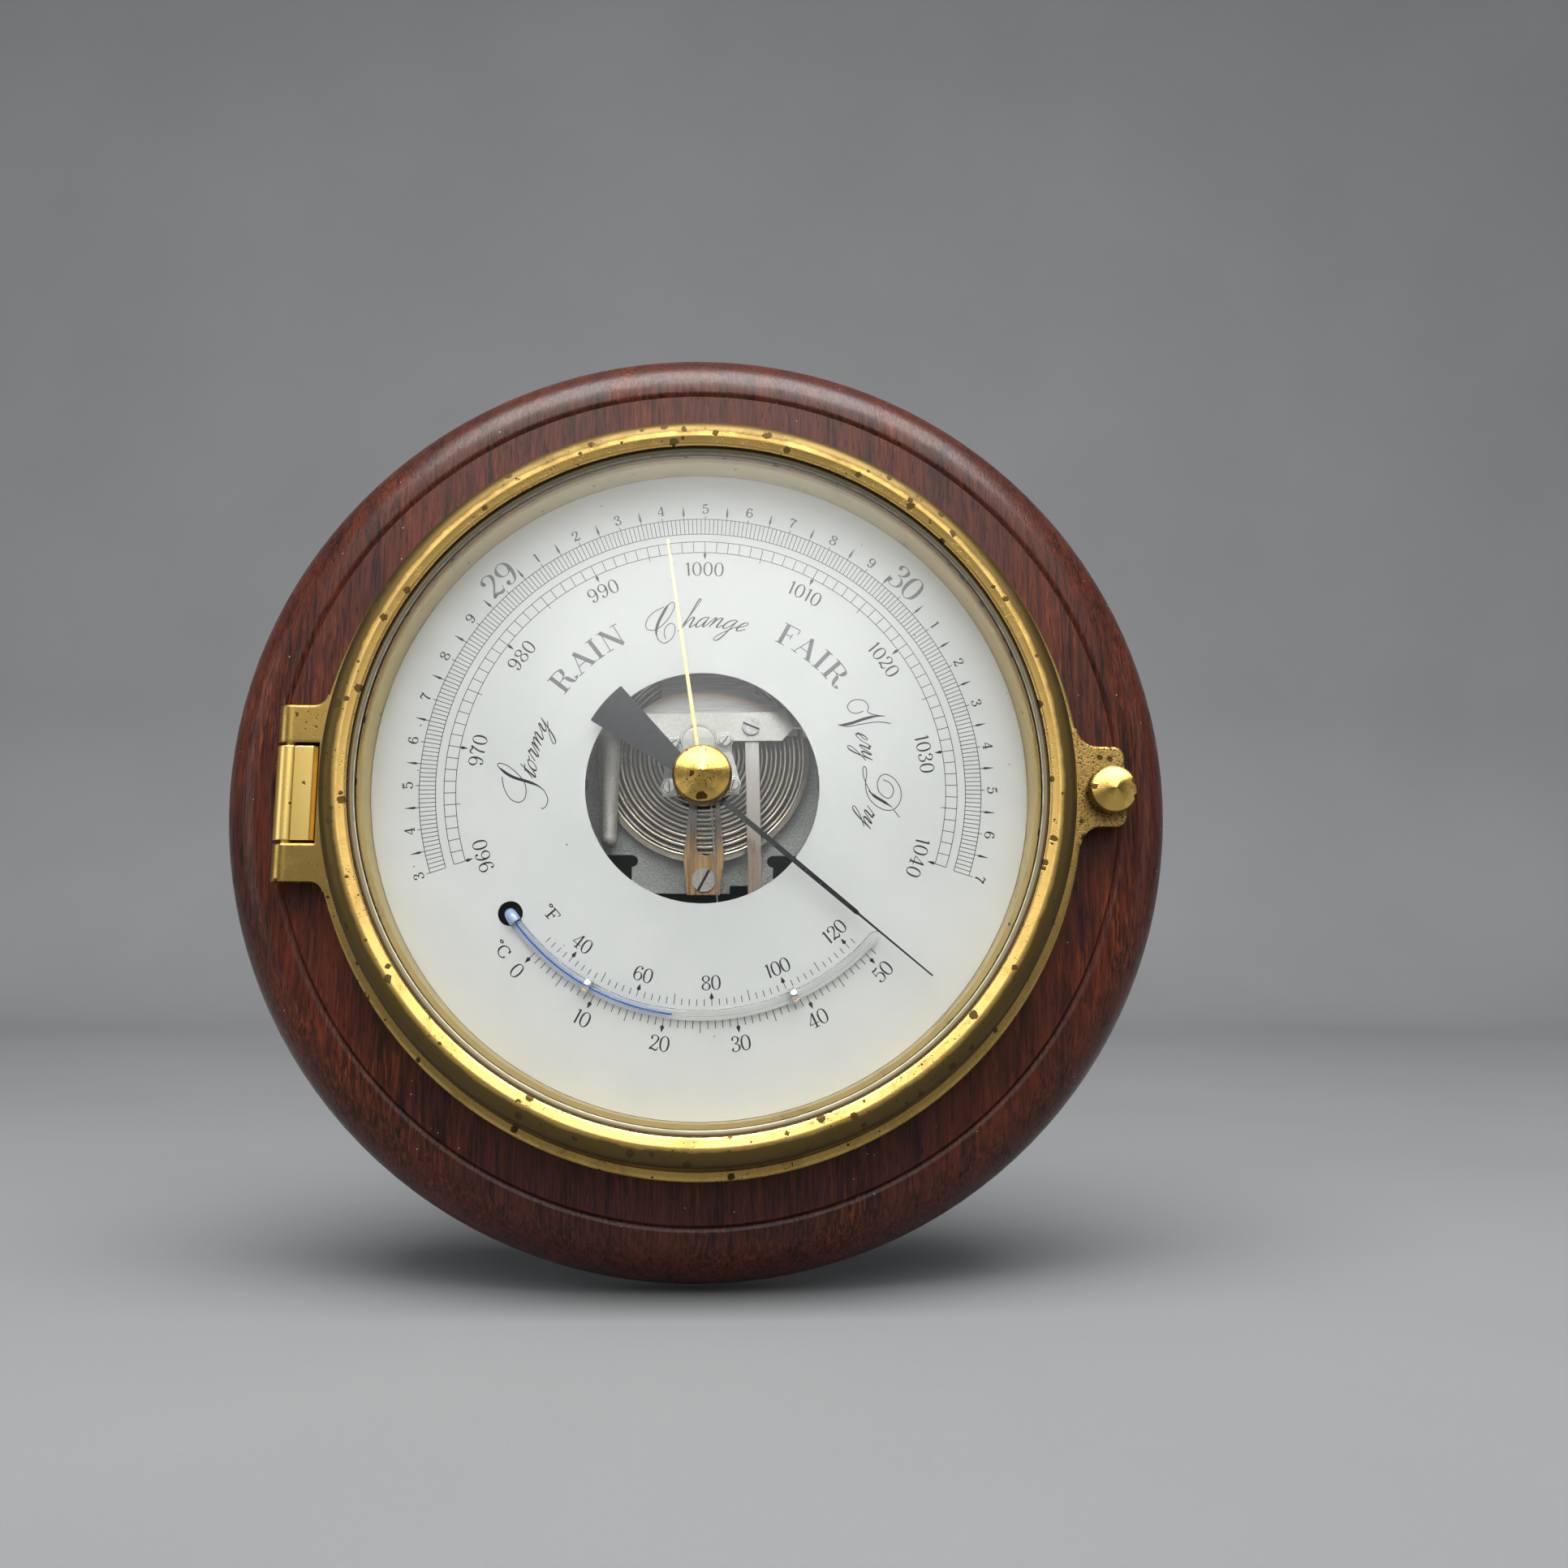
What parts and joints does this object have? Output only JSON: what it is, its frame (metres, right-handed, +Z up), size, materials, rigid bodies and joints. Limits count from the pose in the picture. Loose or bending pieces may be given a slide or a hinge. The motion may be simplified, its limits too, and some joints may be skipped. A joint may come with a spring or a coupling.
{
  "type": "wall barometer",
  "caption": "Round wall barometer: turned wooden plinth, hinged brass porthole door with setting knob, open-centre dial over an aneroid movement, and a curved thermometer",
  "frame": {"origin": "centre of the plinth's flat back, where it lies against the wall, level with the middle of the dial", "axes": "+X to the right as the dial is read, +Y into the wall, +Z up"},
  "size_m": [0.22, 0.0457, 0.22],
  "materials": {
    "mahogany": "semi-gloss varnish, straight grain",
    "sheet_brass": "satin, aged",
    "door_brass": "cast, satin, freckled with tarnish",
    "ring_brass": "polished, tarnished in patches",
    "block_brass": "bright satin",
    "knob_brass": "turned and knurled, bright",
    "hand_brass": "pale, satin",
    "bead_cream": "satin, a little yellowed",
    "window_glass": "clear",
    "tube_glass": "clear",
    "bulb_glass": "clear, blue inside",
    "blue_liquid": "clear liquid",
    "dial_white": "matte enamel",
    "plate_zinc": "galvanised, mottled",
    "cast_zinc": "as cast, dull",
    "screw_steel": "bright",
    "spring_steel": "ground",
    "strip_alloy": "bare, slightly copper",
    "capsule_alloy": "pressed, lacquered",
    "fork_copper": "copper plated",
    "turned_brass": "turned",
    "clear_plastic": "moulded, clear",
    "hand_black": "satin black"
  },
  "bodies": {
    "case": {"wood_plinth": "mahogany", "hanger_plate": "sheet_brass", "hanger_screws": "sheet_brass", "block_screws": "sheet_brass", "instrument_case": "sheet_brass", "case_screws": "sheet_brass", "hinge_block": "block_brass", "hinge_pin": "turned_brass", "latch_insert": "turned_brass", "dial": "dial_white", "dial_posts": "cast_zinc", "base_plate": "plate_zinc", "plate_pillars": "turned_brass", "plate_screws": "screw_steel", "capsule": "capsule_alloy", "capsule_stem": "turned_brass", "main_spring": "spring_steel", "cast_frame": "cast_zinc", "fork_plate": "fork_copper", "fork_pillar": "turned_brass", "fork_screw": "screw_steel", "bearing_bridge": "plate_zinc", "bearing_plate": "clear_plastic", "bearing_screws": "screw_steel", "crank_bracket": "plate_zinc", "thermometer_tube": "tube_glass", "thermometer_bulb": "bulb_glass", "thermometer_liquid": "blue_liquid", "tube_clips": "screw_steel"},
    "adjuster": {"adjusting_screw": "turned_brass"},
    "lever": {"lever_arm": "screw_steel", "lever_pivots": "screw_steel", "lever_strip": "strip_alloy", "lever_screw": "screw_steel"},
    "crank": {"bell_crank": "screw_steel"},
    "wire": {"pull_wire": "screw_steel", "drive_chain": "spring_steel"},
    "needle": {"indicator_hand": "hand_black", "hand_hub": "hand_black", "arbor": "screw_steel", "chain_drum": "turned_brass"},
    "door": {"door_casting": "door_brass", "bezel_ring": "ring_brass", "glass": "window_glass", "glass_bead": "bead_cream", "knob_bush": "turned_brass"},
    "setting": {"set_knob": "knob_brass", "set_shaft": "turned_brass", "set_washer": "turned_brass", "set_hand": "hand_brass"},
    "latch_shank": {"latch_screw": "turned_brass"},
    "latch_grip": {"latch_knob": "knob_brass"}
  },
  "joints": [
    {"name": "door_swing", "type": "hinge", "parent": "case", "child": "door", "pos_m": [-0.0923, -0.0237, -0.0022], "axis": [0, 0, -1], "range_deg": [0, 110]},
    {"name": "latch_travel", "type": "slide", "parent": "door", "child": "latch_shank", "axis": [0, -1, 0], "range_m": [0, 0.0022]},
    {"name": "latch_turn", "type": "hinge", "parent": "latch_shank", "child": "latch_grip", "pos_m": [0.0926, -0.029, -0.0006], "axis": [0, -1, 0], "range_deg": [0, 1080]},
    {"name": "setting_turn", "type": "hinge", "parent": "door", "child": "setting", "pos_m": [0, -0.035, 0], "axis": [0, -1, 0], "continuous": true},
    {"name": "needle_turn", "type": "hinge", "parent": "case", "child": "needle", "pos_m": [0, -0.02, 0], "axis": [0, -1, 0], "range_deg": [-8, 238]},
    {"name": "lever_rock", "type": "hinge", "parent": "case", "child": "lever", "pos_m": [0, -0.01685, 0.0156], "axis": [-1, 0, 0], "range_deg": [-0.15, 3.2]},
    {"name": "crank_turn", "type": "hinge", "parent": "case", "child": "crank", "pos_m": [0.0086, -0.0122, -0.0296], "axis": [-1, 0, 0], "range_deg": [-1.5, 37.5]},
    {"name": "wire_travel", "type": "slide", "parent": "case", "child": "wire", "axis": [-0.0702, -0.0017, 0.9975], "range_m": [-0.0002, 0.0048]},
    {"name": "adjuster_turn", "type": "hinge", "parent": "case", "child": "adjuster", "pos_m": [0, -0.006, 0.0092], "axis": [0, 1, 0], "range_deg": [-180, 180]}
  ],
  "couplings": [
    {"joint": "lever_rock", "follows": "needle_turn", "ratio": 0.013},
    {"joint": "crank_turn", "follows": "needle_turn", "ratio": 0.1524},
    {"joint": "wire_travel", "follows": "needle_turn", "m_per_rad": 0.0011},
    {"joint": "latch_travel", "follows": "latch_turn", "m_per_rad": 0.0001114}
  ]
}
